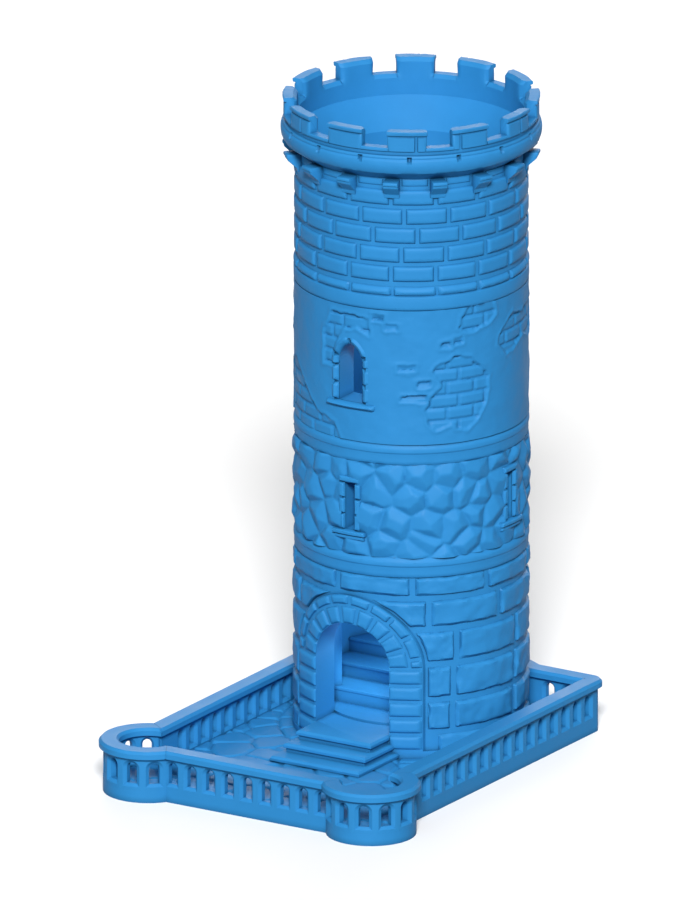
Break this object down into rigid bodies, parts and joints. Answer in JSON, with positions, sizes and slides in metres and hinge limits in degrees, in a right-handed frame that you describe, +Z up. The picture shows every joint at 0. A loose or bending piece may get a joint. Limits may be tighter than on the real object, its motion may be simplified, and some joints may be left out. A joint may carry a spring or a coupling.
{
  "type": "tabletop castle keep dice tower with a dice tray",
  "caption": "Round castle keep for tumbling dice: a funnel between battlements, storeys of stone, plaster and brick, an arched doorway, and a balustraded tray.",
  "frame": {"origin": "on the tower's vertical axis at the underside of the tray's floor", "axes": "+Z up along the tower, -Y towards the doorway and the tray's front, +X to the right seen from the front"},
  "size_m": [0.1222, 0.1628, 0.231],
  "materials": {
    "wall_plastic": "matte blue printed plastic, tower walls",
    "trim_plastic": "matte blue printed plastic, bands, frames, rails and steps",
    "tray_plastic": "matte blue printed plastic, tray"
  },
  "bodies": {
    "root": {"tray_floor": "tray_plastic", "front_balustrade": "tray_plastic", "left_balustrade": "tray_plastic", "right_balustrade": "tray_plastic", "rear_balustrades": "tray_plastic", "rear_apse_wall": "tray_plastic", "left_bastion_wall": "tray_plastic", "right_bastion_wall": "tray_plastic", "front_rail": "trim_plastic", "left_rail": "trim_plastic", "right_rail": "trim_plastic", "rear_rail": "trim_plastic", "left_bastion_rail": "trim_plastic", "right_bastion_rail": "trim_plastic", "lower_step": "trim_plastic", "middle_step": "trim_plastic", "upper_step": "trim_plastic", "tower_plinth": "trim_plastic", "tower_floor": "tray_plastic", "inner_stair": "tray_plastic", "door_fins": "wall_plastic", "door_threshold": "trim_plastic", "door_jambs": "trim_plastic", "door_arch": "trim_plastic", "ground_wall_left": "wall_plastic", "ground_wall_right": "wall_plastic", "frieze_ring": "wall_plastic", "lower_band": "trim_plastic", "rubble_wall_left": "wall_plastic", "rubble_wall_right": "wall_plastic", "slit_frames": "trim_plastic", "slit_sills": "trim_plastic", "middle_band": "trim_plastic", "plaster_wall_left": "wall_plastic", "plaster_wall_right": "wall_plastic", "window_surrounds": "trim_plastic", "window_sills": "trim_plastic", "upper_band": "trim_plastic", "brick_wall_left": "wall_plastic", "brick_wall_right": "wall_plastic", "corbels": "trim_plastic", "crown_ring": "trim_plastic", "funnel": "wall_plastic", "parapet_wall": "wall_plastic", "merlons": "wall_plastic"}
  },
  "joints": []
}
